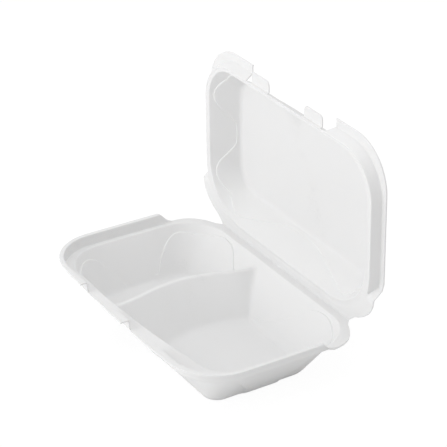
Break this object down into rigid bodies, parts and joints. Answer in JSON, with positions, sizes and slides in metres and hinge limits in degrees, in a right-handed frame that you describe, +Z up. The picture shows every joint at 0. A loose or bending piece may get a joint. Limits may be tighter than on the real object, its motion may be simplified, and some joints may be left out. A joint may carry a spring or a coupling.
{
  "type": "hinged food container",
  "caption": "Open hinged-lid takeaway food container, thin moulded plastic, with a small and a large compartment parted by an S-shaped divider.",
  "frame": {"origin": "middle of the base tray's underside", "axes": "+Z up, +X along the box's length towards the large compartment, -Y towards the front edge where the lid catches; the hinge is at the back"},
  "size_m": [0.24, 0.1798, 0.1909],
  "materials": {
    "base_sheet": "matt, faintly translucent white moulded sheet",
    "lid_sheet": "matt, faintly translucent white moulded sheet"
  },
  "bodies": {
    "base": {"base_tray": "base_sheet"},
    "lid": {"lid": "lid_sheet"}
  },
  "joints": [
    {"name": "lid_hinge", "type": "hinge", "parent": "base", "child": "lid", "pos_m": [0, 0.078, 0.0357], "axis": [-1, 0, 0], "range_deg": [-88.3, 91.7]}
  ]
}
